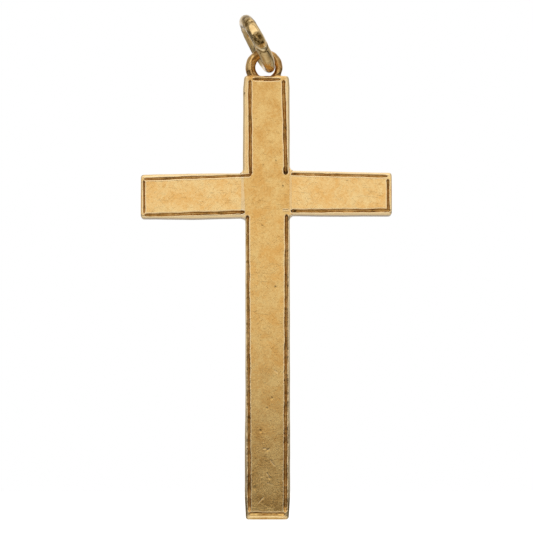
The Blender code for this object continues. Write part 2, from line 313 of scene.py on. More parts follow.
def wearAndShadeMask(tree, place, rim):
    # how far the polish has gone towards the foot, which also sets the painted shade there, less on the rims
    height = addNode(tree, "ShaderNodeSeparateXYZ", links={"Vector": place}).outputs["Z"]
    start, full = (crossZ / mm - down for down in goldWear["footWearAndShade"])
    spared = combine(tree, "SUBTRACT", 1.0, combine(tree, "MULTIPLY", rim, 1.2))
    worn = combine(tree, "MULTIPLY", remap(tree, height, start, full, smooth=True), spared)
    return combine(tree, "MAXIMUM", worn, 0.0)


def goldMaterial(name, look, wearAndShadeDown=False):
    # rolled or drawn gold alloy, polished and then worn: soft mirror with cloudy patches, hairlines and small pits
    material = bpy.data.materials.new(name)
    material.use_nodes = True
    tree = material.node_tree
    shader = tree.nodes["Principled BSDF"]
    shader.inputs["Metallic"].default_value = 1.0
    place = millimetres(tree)
    clouds = noise(tree, place, goldWear["clouds"], 5.0, 0.66, 0.5)
    grain = noise(tree, place, goldWear["grain"], 4.0, 0.7)
    share = goldWear["cloudShare"]
    mottle = combine(tree, "ADD", combine(tree, "MULTIPLY", clouds, share), combine(tree, "MULTIPLY", grain, 1 - share))
    colour = ramp(tree, mottle, [(0.41, linear(look["deep"])), (0.59, linear(look["bright"]))])
    specks = remap(tree, noise(tree, place, goldWear["specks"], 2.0, 0.5), 0.67, 0.78, 0, 0.55, smooth=True)
    colour = mixColour(tree, specks, colour, linear(look["speck"]))
    rim = attribute(tree, "rim")
    # painted highlight: the rims, raised edges and scratches are mixed towards pale cream
    colour = mixColour(tree, combine(tree, "MULTIPLY", rim, 0.85), colour, linear(look["rim"]))
    # grime and painted shade lie brown in the cuts, and black where they are heaviest
    streaks = remap(tree, noise(tree, place, goldWear["streaks"], 3.0, 0.6), 0.3, 0.7, 0.62, 1.25)
    grimeAndShadeAmount = combine(tree, "MULTIPLY", attribute(tree, "grime"), streaks)
    colour = mixColour(tree, remap(tree, grimeAndShadeAmount, 0, 0.75), colour, linear(look["grime"]))
    colour = mixColour(tree, remap(tree, grimeAndShadeAmount, 0.88, 1.2, 0, 0.9), colour, linear(look["sootAndShadow"]))
    haze = remap(tree, clouds, 0.35, 0.65, *look["roughness"])
    feed(tree, shader.inputs["Roughness"], combine(tree, "ADD", haze, combine(tree, "MULTIPLY", grimeAndShadeAmount, 0.18)))
    relief = combine(tree, "SUBTRACT", combine(tree, "MULTIPLY", grain, goldWear["grainHeight"]),
                     combine(tree, "MULTIPLY", scratches(tree), goldWear["hairlineDepth"]))
    relief = combine(tree, "SUBTRACT", relief, combine(tree, "MULTIPLY", specks, goldWear["speckDepth"]))
    if wearAndShadeDown:
        # towards the foot the polish has gone to a crazed skin, and the colour is painted a little browner as shade
        worn = wearAndShadeMask(tree, place, rim)
        brown, amount = goldWear["footShade"]
        colour = mixColour(tree, combine(tree, "MULTIPLY", worn, amount), colour, linear(brown))
        crazing = noise(tree, millimetres(tree, stretch=(1.25, 1, 0.8)), goldWear["crazing"], 2.0, 0.55, 1.6)
        crazed = combine(tree, "MULTIPLY", combine(tree, "MULTIPLY", crazing, worn), goldWear["crazingHeight"])
        relief = combine(tree, "ADD", relief, crazed)
    feed(tree, shader.inputs["Base Color"], colour)
    bump = addNode(tree, "ShaderNodeBump", inputs={"Strength": 1.0, "Distance": goldWear["bumpDepth"]},
                   links={"Height": relief})
    feed(tree, shader.inputs["Normal"], bump.outputs["Normal"])
    return material


# solder: its pale rim colour is partly the solder's own paler tone and partly a painted highlight
solderLook = dict(goldSheet, bright="fbd592", deep="edbd74", rim="fdeccb", roughness=(0.18, 0.28))
loopLook = dict(goldSheet, bright="e2bb7c", deep="bb8d51", speck="966a36", grime="8a5c2a", sootAndShadow="4a2f16",
                roughness=(0.14, 0.22))
ringLook = dict(goldSheet, bright="e6c992", deep="c1a069", speck="5f4826", grime="7a5e30", sootAndShadow="1c150c",
                roughness=(0.12, 0.20))
materials = {
    # rolled sheet: a warm cloudy gleam that crazes towards the foot and is painted darker there as shade
    "upright": goldMaterial("wornGoldUpright", goldSheet, wearAndShadeDown=True),
    # the same sheet, lighter and evener
    "arms": goldMaterial("wornGoldArms", dict(goldSheet, bright="fdd895", deep="e9b66c")),
    # filed solder: pale, with a softer shine
    "solder": goldMaterial("filedGoldSolder", solderLook),
    # drawn wire of a redder alloy, brown at its feet
    "loop": goldMaterial("drawnGoldWireLoop", loopLook),
    # drawn wire of a paler alloy: pitted, and painted black in its hollow as a dark reflection
    "ring": goldMaterial("drawnGoldWireRing", ringLook),
}
print("materials ready")

# ---- the graver's lines, in drawing millimetres on the front face

graverLines = {
    # name: start, end, width, depth, where it is cut deepest, and how far the deepest part lies off the line's
    # middle as a share of half the width
    "upperLeft": ((-1.70, 11.80), (-1.63, 2.06), 0.33, 0.15, "end", 0.2),
    "upperRight": ((1.74, 11.80), (1.99, 2.10), 0.36, 0.16, "end", -0.1),
    "topLine": ((-1.40, 11.90), (1.42, 11.88), 0.30, 0.12, "middle", 0.3),
    "lowerLeft": ((-1.93, -2.10), (-1.72, -32.0), 0.31, 0.14, "start", 0.2),
    "lowerRight": ((2.04, -1.95), (1.90, -32.0), 0.34, 0.15, "start", 0.1),
    "footLine": ((-1.84, -32.22), (1.88, -32.22), 0.40, 0.15, "middle", 0.62),
    "leftArmTop": ((-12.42, 1.64), (-1.58, 2.03), 0.29, 0.13, "end", 0.2),
    "leftArmBottom": ((-12.36, -2.04), (-2.20, -1.72), 0.36, 0.15, "end", 0.1),
    "leftArmEnd": ((-12.44, 1.52), (-12.40, -1.86), 0.20, 0.10, "start", 0.0),
    "rightArmTop": ((2.50, 2.17), (12.30, 1.95), 0.31, 0.13, "start", 0.1),
    "rightArmBottom": ((2.46, -1.62), (12.58, -1.55), 0.36, 0.14, "start", 0.2),
    "rightArmEnd": ((12.33, 1.66), (12.36, -1.72), 0.27, 0.12, "middle", 0.0),
    "overrun": ((1.60, -1.50), (2.30, -1.53), 0.06, 0.015, "middle", 0.0),
    "upperRightStop": ((1.88, 2.90), (2.00, 2.10), 0.46, 0.19, "end", 0.0),
    "leftArmStop": ((-2.80, -1.75), (-2.20, -1.70), 0.36, 0.18, "end", 0.0),
    "lowerLeftStop": ((-1.95, -2.06), (-1.93, -2.50), 0.40, 0.17, "start", 0.0),
}
graver = {
    "tremble": 0.022,  # how far the hand drifts off the line
    "tip": 0.22,  # length over which a line narrows to its end
    "ridge": (0.055, 0.05, 0.004),  # the raised edge's distance from the cut, its width and height
    "bareBelow": -31.35,  # below this the two long lines carry neither grime nor painted shade, and stay bright at the foot
    "stepShadow": 1.4,  # painted shadow under the foot line's step
}


def wander(values, seed, lengths=(5.0, 2.3, 0.9), share=(0.55, 0.3, 0.15)):
    # a hand's slow drift: a few seeded sine waves, from -1 to 1
    rng = np.random.default_rng(seed)
    return sum(s * np.sin(2 * np.pi * values / l + rng.uniform(0, 2 * np.pi)) for l, s in zip(lengths, share))


def smoothStep(values, low, high):
    x = np.clip((values - low) / (high - low), 0, 1)
    return x * x * (3 - 2 * x)


def engraving(x, z):
    # at each point of the front: how deep the graver went, how much grime and painted shade sit there, and the painted
    # highlight on the raised edges
    ridgeAway, ridgeWidth, ridgeHeight = graver["ridge"]
    bareBelow = graver["bareBelow"]
    depth = np.zeros_like(x)
    ridge = np.zeros_like(x)
    grime = np.zeros_like(x)
    ridgeHighlights = np.zeros_like(x)
    for seed, (start, end, width, cut, deepest, skew) in enumerate(graverLines.values()):
        start, end = np.array(start), np.array(end)
        length = np.linalg.norm(end - start)
        along = (end - start) / length
        s = (x - start[0]) * along[0] + (z - start[1]) * along[1]
        d = -(x - start[0]) * along[1] + (z - start[1]) * along[0]
        d = d + graver["tremble"] * wander(s, 40 + seed)
        near = (np.abs(d) < 0.6) & (s > -0.3) & (s < length + 0.3)
        if not near.any():
            continue
        taper = np.clip(np.minimum(s, length - s) / graver["tip"], 0, 1) ** 0.5
        half = width / 2 * (1 + 0.16 * wander(s, 80 + seed, (3.1, 1.2, 0.45))) * taper
        reached = np.clip(s, 0, length)
        lift = {"start": 0.35 * np.exp(-reached / 0.7), "end": 0.35 * np.exp(-(length - reached) / 0.5),
                "middle": 0}[deepest]
        deep = cut * (1 + 0.14 * wander(s, 120 + seed, (4.2, 1.6, 0.6)) + lift)
        reach = np.maximum(half * np.where(d > skew * half, 1 - skew, 1 + skew), 1e-6)
        flank = np.clip(1 - np.abs(d - skew * half) / reach, 0, 1)
        profile = np.where(near, deep * np.minimum(flank * 1.35, 1) ** 0.85 * (taper > 0), 0)
        depth = np.maximum(depth, profile)
        bead = np.exp(-((np.abs(d) - half - ridgeAway) / ridgeWidth) ** 2) * (taper > 0.2)
        ridge = np.maximum(ridge, np.where(near, bead * ridgeHeight, 0))
        ridgeHighlights = np.maximum(ridgeHighlights, np.where(near, bead, 0))
        # grime and painted shade in the cut, heaviest where it is cut deepest
        patchy = 0.74 + 0.22 * wander(s, 160 + seed, (6.0, 2.2, 0.8)) + 1.3 * lift
        dirtAndShade = np.minimum(smoothStep(profile / cut, 0.05, 0.5) * patchy, 1)
        if skew > 0.5:
            # painted shadow black under the step, a painted amber reflection at the slope's start, and bare below it
            amberReflection = dirtAndShade * 0.75 * smoothStep(d, -0.35 * half, 0.3 * half)
            dirtAndShade = np.where(d > 0.45 * half, np.minimum(dirtAndShade * 2.2, graver["stepShadow"]), amberReflection)
        if abs(along[1]) > 0.9:
            dirtAndShade = dirtAndShade * smoothStep(z, bareBelow - 0.25, bareBelow)
        grime = np.maximum(grime, np.where(near, dirtAndShade, 0))
    inside = depth > 0.01
    return np.where(inside, depth, -ridge), np.maximum(grime, 0), np.where(inside, 0, ridgeHighlights)


dents = [
    # x, z, radius, depth; a negative depth is a raised burr
    (1.66, 0.88, 0.09, 0.025), (-0.33, 3.04, 0.08, 0.02), (-0.42, -3.2, 0.12, 0.012),
    (-2.30, 10.35, 0.13, 0.05), (0.96, 3.45, 0.10, 0.02),
    (6.95, 2.31, 0.20, -0.07), (-1.1, 7.6, 0.12, 0.010), (0.9, -9.4, 0.12, 0.012), (-0.6, -23.9, 0.07, 0.02),
    (0.55, -20.6, 0.07, 0.015), (0.05, -21.6, 0.06, 0.015), (-5.6, 0.15, 0.10, 0.012), (8.2, 1.45, 0.10, 0.012),
    (0.30, -28.6, 0.11, 0.009), (-1.2, -29.6, 0.12, 0.008), (0.1, -25.8, 0.09, 0.009),
]
glintScratches = [
    # start, end: bare lines that were struck after the polish, painted pale as a glint
    ((0.37, -26.77), (0.80, -27.37)), ((-0.30, -30.53), (-0.86, -31.13)), ((0.80, -17.78), (1.10, -18.02)),
    ((0.05, -28.1), (0.30, -28.5)), ((0.10, -29.15), (0.55, -29.2)), ((-0.35, -25.6), (0.30, -25.75)),
]
surface = {
    "scratchWidth": 0.035,
    "scratchDepth": 0.006,
    "sootFrom": 0.015,  # dents deeper than this hold dirt
    "footBurr": 0.035,  # the foot's rim is burred outwards and catches the light
    "waviness": 0.006,  # the sheet isn't quite flat
}


def faceRelief(x, z):
    # everything that is cut into the front or stands up from it
    cutDepth, grime, ridgeHighlights = engraving(x, z)
    for dentX, dentZ, radius, deep in dents:
        r2 = (x - dentX) ** 2 + (z - dentZ) ** 2
        hit = np.exp(-r2 / radius ** 2)
        cutDepth = cutDepth * (1 - hit) + deep * hit if deep < 0 else cutDepth + deep * hit
        if deep > surface["sootFrom"]:
            grime = np.maximum(grime, np.where(deep > 0.03, 0.8, 0.35) * hit ** 2)
    for start, end in glintScratches:
        start, end = np.array(start), np.array(end)
        length = np.linalg.norm(end - start)
        along = (end - start) / length
        s = np.clip((x - start[0]) * along[0] + (z - start[1]) * along[1], 0, length)
        away = np.hypot(x - start[0] - s * along[0], z - start[1] - s * along[1])
        hit = np.exp(-(away / surface["scratchWidth"]) ** 2)
        cutDepth = cutDepth + surface["scratchDepth"] * hit
        # the scratch is also painted pale as a glint
        ridgeHighlights = np.maximum(ridgeHighlights, 0.8 * hit)
    cutDepth = cutDepth - surface["footBurr"] * smoothStep(-z, -footZ - 0.33, -footZ - 0.08)
    wavy = surface["waviness"] * wander(z, 7, (9.0, 4.1, 2.2)) * wander(x, 8, (5.0, 2.9, 1.7))
    return cutDepth + wavy, grime, ridgeHighlights


# ---- the tubes

tubeSizes = {
    "wall": 0.35,
    "frontRound": 0.26,
    "backRound": 0.34,
    "endRound": 0.14,
    "boreRound": 0.17,
    "plugDepth": 0.7,  # the bore is drawn this far in from each end before it runs straight
    "edgeDrift": 0.012,
    "rimBand": (0.1, 0.6),  # how far in from the edge the painted rim highlight fades out
    "crossing": (2.45, 2.0, 0.15),  # half width, half height and middle height of the part without the painted rim highlight
}
tubeGrid = {
    "fineColumn": 0.034, "borderBand": 1.0, "middleColumns": 40,  # across the front
    "uprightFront": 4.1, "armFront": 3.9,  # the front's width between its rounded edges
    "fineRow": 0.036, "coarseRow": 0.1, "endZone": 1.1,  # along the tube
    "crossingZones": [(-2.5, -1.3), (1.7, 2.6)], "armRootZone": 0.8,
}

uprightStations = [
    # height, reach to the left, reach to the right
    (footZ, 2.00, 2.14), (footZ + 0.25, 2.08, 2.25), (footZ + 2.2, 2.18, 2.37), (-26.0, 2.18, 2.38),
    (-20.0, 2.13, 2.37), (-2.4, 2.15, 2.37), (2.4, 2.40, 2.37), (topZ - 1.2, 2.38, 2.36),
    (topZ - 0.25, 2.28, 2.28), (topZ, 2.20, 2.19),
]
armEndTaper = (0.25, 0.1)  # over this length each edge comes in by this much
armShapes = {
    # start, reach, then the bottom and top edge at the start, the middle and the end
    "left": (2.53, 12.76, ((-2.22, 2.27), (-2.34, 2.24), (-2.30, 2.12))),
    "right": (2.53, 12.72, ((-1.98, 2.55), (-2.02, 2.42), (-2.00, 2.32))),
}


def columnLayout(width):
    # shares across the front: close together over the engraved borders, wider between them
    band = tubeGrid["borderBand"] / width
    edge = np.arange(0, tubeGrid["borderBand"], tubeGrid["fineColumn"]) / width
    inner = np.linspace(band, 1 - band, tubeGrid["middleColumns"])
    return np.concatenate([edge, inner[:-1], 1 - edge[::-1]])


def section(front, low, high, near, far, frontRound, backRound):
    # one outline of a tube, from the front's low edge round to it again; near and far are the front's and the
    # back's depth, and facing says how much of the front's relief each point takes
    u = list(low + frontRound + front * (high - low - 2 * frontRound))
    v = [near] * len(front)
    facing = [1.0] * len(front)

    def corner(centreU, centreV, radius, start, steps=6):
        for k in range(1, steps + 1):
            angle = math.radians(start + 90 * k / (steps + 1))
            u.append(centreU + radius * math.cos(angle))
            v.append(centreV + radius * math.sin(angle))
            facing.append(max(0.0, -math.sin(angle)) ** 1.5)

    def run(start, end, count):
        for k in range(count):
            share = k / (count - 1)
            u.append(start[0] + (end[0] - start[0]) * share)
            v.append(start[1] + (end[1] - start[1]) * share)
            facing.append(0.0)

    corner(high - frontRound, near + frontRound, frontRound, -90)
    run((high, near + frontRound), (high, far - backRound), 5)
    corner(high - backRound, far - backRound, backRound, 0)
    run((high - backRound, far), (low + backRound, far), 13)
    corner(low + backRound, far - backRound, backRound, 90)
    run((low, far - backRound), (low, near + frontRound), 5)
    corner(low + frontRound, near + frontRound, frontRound, 180)
    return np.array(u), np.array(v), np.array(facing)


def rowsBetween(start, end, fineZones, coarse=tubeGrid["coarseRow"]):
    # stations along a tube, close together where lines end or cross
    rows = [start]
    while rows[-1] < end - 1e-9:
        last = rows[-1]
        fine = any(low <= last <= high for low, high in fineZones)
        rows.append(min(end, last + (tubeGrid["fineRow"] if fine else coarse)))
    return rows


def meshFromGrid(name, grid, closedRows, attributes, material):
    # grid is rows x columns x 3 in metres; the columns close on themselves
    rows, columns = grid.shape[:2]
    index = np.arange(rows * columns).reshape(rows, columns)
    nextColumn = np.roll(index, -1, axis=1)
    upper = np.roll(index, -1, axis=0) if closedRows else index[1:]
    upperNext = np.roll(nextColumn, -1, axis=0) if closedRows else nextColumn[1:]
    lower = index if closedRows else index[:-1]
    lowerNext = nextColumn if closedRows else nextColumn[:-1]
    quads = np.stack([lower, lowerNext, upperNext, upper], axis=-1).reshape(-1, 4)
    faces = quads.tolist()
    if not closedRows:
        faces += [index[0][::-1].tolist(), index[-1].tolist()]
    points = grid.reshape(-1, 3)
    a, b, c, d = (points[quads[:, k]] for k in range(4))
    volume = np.einsum("ij,ij->", a, np.cross(b, c)) + np.einsum("ij,ij->", a, np.cross(c, d))
    if volume < 0:  # the faces look inwards
        faces = [face[::-1] for face in faces]
    mesh = bpy.data.meshes.new(name)
    mesh.from_pydata(points.tolist(), [], faces)
    for key, values in attributes.items():
        mesh.attributes.new(key, "FLOAT", "POINT").data.foreach_set("value", values.astype(np.float32).ravel())
    mesh.shade_smooth()
    mesh.materials.append(material)
    piece = bpy.data.objects.new(name, mesh)
    bpy.context.scene.collection.objects.link(piece)
    return piece


def roundedRows(rows, start, end, roundStart):
    # stations with their inset: the ends are rounded over, and an end that is soldered on stays square
    radius = tubeSizes["endRound"]
    curve = [(radius * (1 - math.sin(a)), radius * (1 - math.cos(a))) for a in np.radians((90, 72, 54, 36, 18))]
    first = start + (radius if roundStart else 0)
    opening = [(start + along, inset) for along, inset in curve] if roundStart else [(start, 0.0)]
    middle = [(t, 0.0) for t in rows if first + 1e-6 < t < end - radius - 1e-6]
    closing = [(end - along, inset) for along, inset in reversed(curve)]
    return opening + middle + closing


def tubePiece(name, stations, place, drawing, rows, material, seed, front, frontRoundAt, roundStart=True):
    # place turns (u, v, t) to metres; drawing turns (u, t) to the front's x and z
    ts, lows, highs = np.array(stations).T
    wall, drift, boreRound = (tubeSizes[key] for key in ("wall", "edgeDrift", "boreRound"))
    halfWidth, halfHeight, middleHeight = tubeSizes["crossing"]
    start, end = ts[0], ts[-1]
    grid, grimes, rims = [], [], []
    for t, inset in roundedRows(rows, start, end, roundStart):
        low = np.interp(t, ts, lows) + drift * float(wander(np.array(t), seed, (7.3, 3.1, 1.3))) + inset
        high = np.interp(t, ts, highs) + drift * float(wander(np.array(t), seed + 1, (6.1, 2.7, 1.1))) - inset
        frontRound = max(frontRoundAt(t), 0.02)
        u, v, facing = section(front, low, high, -thickness + inset, -inset, frontRound, tubeSizes["backRound"])
        x, z = drawing(u, t)
        relief, grime, ridgeHighlights = faceRelief(x, z)
        v = v + relief * facing
        border = np.minimum(u - low, high - u)
        grid.append([place(a, b, t) for a, b in zip(u, v)])
        grimes.append(grime * facing)
        # painted highlight along the rims, stronger on the front, and none where the arms run into the upright
        outside = smoothStep(np.maximum(np.abs(x) - halfWidth, np.abs(z - middleHeight) - halfHeight), 0.0, 0.35)
        rim = (1 - smoothStep(border, *tubeSizes["rimBand"])) * np.where(facing > 0, 0.75, 0.3) * outside
        rims.append(np.clip(rim + 0.9 * ridgeHighlights, 0, 1))
    boreLow, boreHigh = lows.max() + wall, highs.min() - wall
    for t in (end, end - tubeSizes["plugDepth"], start + tubeSizes["plugDepth"], start):
        u, v, _ = section(front, boreLow, boreHigh, -thickness + wall, -wall, boreRound, boreRound)
        grid.append([place(a, b, t) for a, b in zip(u, v)])
        grimes.append(np.zeros(len(u)))
        rims.append(np.zeros(len(u)))
    points = np.array([[tuple(p) for p in row] for row in grid])
    return meshFromGrid(name, points, True, {"grime": np.array(grimes), "rim": np.array(rims)}, material)


def uprightPiece():
    stations = [(t, -left, right) for t, left, right in uprightStations]
    zone = tubeGrid["endZone"]
    rows = rowsBetween(footZ, topZ, [(footZ, footZ + zone), *tubeGrid["crossingZones"], (topZ - zone, topZ)])

    def frontRound(t):
        # the front runs straight on into the arms at the crossing
        return tubeSizes["frontRound"] * float(smoothStep(np.array(abs(t - 0.1)), 2.0, 2.6))

    return tubePiece("engravedUpright", stations, toFrame, lambda u, t: (u, np.full_like(u, t)), rows,
                     materials["upright"], 11, columnLayout(tubeGrid["uprightFront"]), frontRound)


def armPiece(side, sign):
    start, reach, edges = armShapes[side]
    taper, narrowing = armEndTaper
    stations = [(start, *edges[0]), ((start + reach) / 2, *edges[1]), (reach - taper, *edges[2]),
                (reach, edges[2][0] + narrowing, edges[2][1] - narrowing)]
    zones = [(start, start + tubeGrid["armRootZone"]), (reach - tubeGrid["endZone"], reach)]
    rows = rowsBetween(start, reach, zones)

    def place(u, v, t):
        return toFrame(sign * t, v, u)

    seed = 21 if side == "left" else 31
    return tubePiece("engraved" + side.capitalize() + "Arm", stations, place,
                     lambda u, t: (np.full_like(u, sign * t), u), rows, materials["arms"], seed,
                     columnLayout(tubeGrid["armFront"]), lambda t: tubeSizes["frontRound"], roundStart=False)


upright = uprightPiece()
arms = {"left": armPiece("left", -1), "right": armPiece("right", 1)}
print("tubes built")

# ---- the solder in the arm joints

seamSizes = {
    "fillet": 0.42,
    "overlap": 0.045,  # under the tubes on both sides
    "proud": 0.004,  # in front of them
    "row": 0.035,
    "edgeRound": 0.02,
    # how far the solder is mixed towards its pale colour: partly the solder's paler tone, and on the fillets a painted
    # highlight
    "paleSolderAndHighlight": {"left": 0.3, "right": 0.15, "fillet": 0.75},
}


def seamPiece(side, sign):
    start, _, edges = armShapes[side]
    bottom, top = edges[0]
    fillet, overlap = seamSizes["fillet"], seamSizes["overlap"]
    heights, leftReaches, rightReaches = np.array(uprightStations).T
    reaches = leftReaches if side == "left" else rightReaches
    front = np.linspace(0, 1, 12)
    grid, grimes, rims = [], [], []
    for t in rowsBetween(bottom - fillet, top + fillet, [], coarse=seamSizes["row"]):
        near = np.interp(t, heights, reaches) - overlap
        beyond = max(t - top, bottom - t, 0)
        far, edgeRound, setBack = start + overlap, seamSizes["edgeRound"], 0.0
        paleSolderAndHighlight = seamSizes["paleSolderAndHighlight"][side]
        if beyond > 0:
            # past the arm the solder runs out in a hollow corner
            arc = fillet - math.sqrt(max(fillet ** 2 - (fillet - beyond) ** 2, 0))
            far = near + overlap + 0.004 + arc
            edgeRound = min(0.2, (far - near) * 0.45)
            setBack = 0.02 + 0.1 * min(1.0, beyond / fillet)
            # the hollow corner is painted pale as a highlight
            paleSolderAndHighlight = seamSizes["paleSolderAndHighlight"]["fillet"]
        u, v, facing = section(front, near, far, setBack - thickness - seamSizes["proud"], -0.01 - setBack,
                               edgeRound, edgeRound)
        x, z = sign * u, np.full_like(u, t)
        relief, grime, ridgeHighlights = faceRelief(x, z)
        grid.append([toFrame(a, b + r * f, t) for a, b, r, f in zip(x, v, relief, facing)])
        grimes.append(grime * facing)
        rims.append(np.clip(paleSolderAndHighlight + 0.9 * ridgeHighlights, 0, 1))
    points = np.array([[tuple(p) for p in row] for row in grid])
    attributes = {"grime": np.array(grimes), "rim": np.array(rims)}
    return meshFromGrid(side + "ArmSolder", points, False, attributes, materials["solder"])


seams = {"left": seamPiece("left", -1), "right": seamPiece("right", 1)}
print("arm joints built")

# ---- bent wire: one tree draws the loop and the jump ring

wireInputs = [
    # name, kind, default
    ("Bend radius", "NodeSocketFloat", 1.0 * mm),
    ("Wire radius", "NodeSocketFloat", 0.4 * mm),
    ("Start angle", "NodeSocketFloat", 0.0),
    ("Sweep angle", "NodeSocketFloat", 2 * math.pi),
    ("Steps", "NodeSocketInt", 180),
    ("Sides", "NodeSocketInt", 40),
    ("Unevenness", "NodeSocketFloat", 0.02),
    ("Seed", "NodeSocketFloat", 3.0),
    ("Material", "NodeSocketMaterial", None),
]


def bentWireTree():
    tree = bpy.data.node_groups.new("bentWire", "GeometryNodeTree")
    tree.interface.new_socket("Geometry", in_out="INPUT", socket_type="NodeSocketGeometry")
    for name, kind, default in wireInputs:
        socket = tree.interface.new_socket(name, in_out="INPUT", socket_type=kind)
        if default is not None:
            socket.default_value = default
    tree.interface.new_socket("Geometry", in_out="OUTPUT", socket_type="NodeSocketGeometry")
    given = addNode(tree, "NodeGroupInput")
    arc = addNode(tree, "GeometryNodeCurveArc", {"mode": "RADIUS"}, links={
        "Resolution": given.outputs["Steps"], "Radius": given.outputs["Bend radius"],
        "Start Angle": given.outputs["Start angle"], "Sweep Angle": given.outputs["Sweep angle"]})
    # the wire swells and narrows a little along its length
    drift = addNode(tree, "ShaderNodeTexNoise", {"noise_dimensions": "4D"}, {"Scale": 700.0, "Detail": 2.0},
                    {"Vector": addNode(tree, "GeometryNodeInputPosition").outputs[0], "W": given.outputs["Seed"]})
    swell = combine(tree, "SUBTRACT", drift.outputs["Fac"], 0.5)
    swell = combine(tree, "ADD", combine(tree, "MULTIPLY", swell, given.outputs["Unevenness"]), 1.0)
    circle = addNode(tree, "GeometryNodeCurvePrimitiveCircle", {"mode": "RADIUS"}, links={
        "Resolution": given.outputs["Sides"], "Radius": given.outputs["Wire radius"]})
    wire = addNode(tree, "GeometryNodeCurveToMesh", inputs={"Fill Caps": True}, links={
        "Curve": arc.outputs["Curve"], "Profile Curve": circle.outputs["Curve"], "Scale": swell})
    smooth = addNode(tree, "GeometryNodeSetShadeSmooth", links={"Geometry": wire.outputs["Mesh"]})
    real = addNode(tree, "GeometryNodeRealizeInstances", links={"Geometry": smooth.outputs["Geometry"]})
    painted = addNode(tree, "GeometryNodeSetMaterial", links={
        "Geometry": real.outputs[0], "Material": given.outputs["Material"]})
    addNode(tree, "NodeGroupOutput", links={"Geometry": painted.outputs[0]})
    return tree


bentWire = bentWireTree()
endGap = 0.02 * mm  # the two end rings of a full turn lean half a step apart


def growWire(name, values):
    # grows the wire on an empty mesh and keeps the result as a plain mesh
    piece = bpy.data.objects.new(name, bpy.data.meshes.new(name + "Seed"))
    bpy.context.scene.collection.objects.link(piece)
    modifier = piece.modifiers.new("bentWire", "NODES")
    modifier.node_group = bentWire
    for item in bentWire.interface.items_tree:
        if item.in_out == "INPUT" and item.name in values:
            modifier[item.identifier] = values[item.name]
    bpy.context.view_layer.update()
    evaluated = piece.evaluated_get(bpy.context.evaluated_depsgraph_get())
    mesh = bpy.data.meshes.new_from_object(evaluated)
    piece.modifiers.remove(modifier)
    piece.data = mesh
    mesh.name = name
    return piece


def turnInto(piece, centre, along, up):
    # lays a piece drawn in its own X and Y on the plane of two directions round a centre
    turn = Matrix((along, up, along.cross(up))).transposed().to_4x4()
    piece.data.transform(Matrix.Translation(centre) @ turn)


def vectorsOf(mesh, key):
    values = np.empty(len(mesh.vertices) * 3)
    mesh.vertices.foreach_get(key, values)
    return values.reshape(-1, 3)


def pointsOf(mesh):
    return vectorsOf(mesh, "co")


def setPoints(mesh, points):
    mesh.vertices.foreach_set("co", points.ravel())
    mesh.update()


def finishWire(piece, joined):
    # turns the faces outwards, and first joins the two ends of a full turn and drops the caps between them
    builder = bmesh.new()
    builder.from_mesh(piece.data)
    if joined:
        caps = [face for face in builder.faces if len(face.verts) > 8]
        bmesh.ops.delete(builder, geom=caps, context="FACES_ONLY")
        ends = [point for point in builder.verts if point.is_boundary]
        bmesh.ops.remove_doubles(builder, verts=ends, dist=endGap)
    bmesh.ops.recalc_face_normals(builder, faces=builder.faces)
    builder.to_mesh(piece.data)
    builder.free()


def paint(mesh, grime, rim):
    for name, values in (("grime", grime), ("rim", rim)):
        layer = mesh.attributes.get(name) or mesh.attributes.new(name, "FLOAT", "POINT")
        layer.data.foreach_set("value", np.asarray(values, np.float32))


def lumps(points, seed, size, count=9):
    # smooth random swellings, from -1 to 1
    rng = np.random.default_rng(seed)
    total = np.zeros(len(points))
    for _ in range(count):
        direction = rng.normal(size=3)
        direction /= np.linalg.norm(direction)
        total += np.sin(2 * np.pi * (points @ direction) / (size * rng.uniform(0.6, 1.6)) + rng.uniform(0, 6.3))
    return total / math.sqrt(count) / 1.6


def normalsOf(mesh):
    return vectorsOf(mesh, "normal")


loopSizes = {
    "centreX": -0.26, "centreUp": 1.00, "outer": 1.91,
    "left": 0.52, "top": 0.44, "right": 0.39,  # wire radius
    "hammer": (0.022, 0.9), "nicks": (0.03, 0.6),  # depth and size of the marks
    "footDirt": 0.16,  # height of the dark part above the feet
}
bead = {"wire": 0.13, "stretch": 1.3, "outwards": 0.12, "up": 0.03}  # of solder round each foot
restHeight = crossZ + (topZ + 0.002) * mm  # where the loop and the beads meet the top
# the tree draws an even wire at this bend radius, which is then pressed thinner or thicker
loopBend = loopSizes["outer"] - loopSizes["top"]


def loopWire(angle):
    # wire radius in mm, thickest in the left leg
    middle = (loopSizes["left"] + loopSizes["right"]) / 2
    swing = (loopSizes["left"] - loopSizes["right"]) / 2
    return middle - swing * np.cos(angle) - (middle - loopSizes["top"]) * np.maximum(0, np.sin(angle))


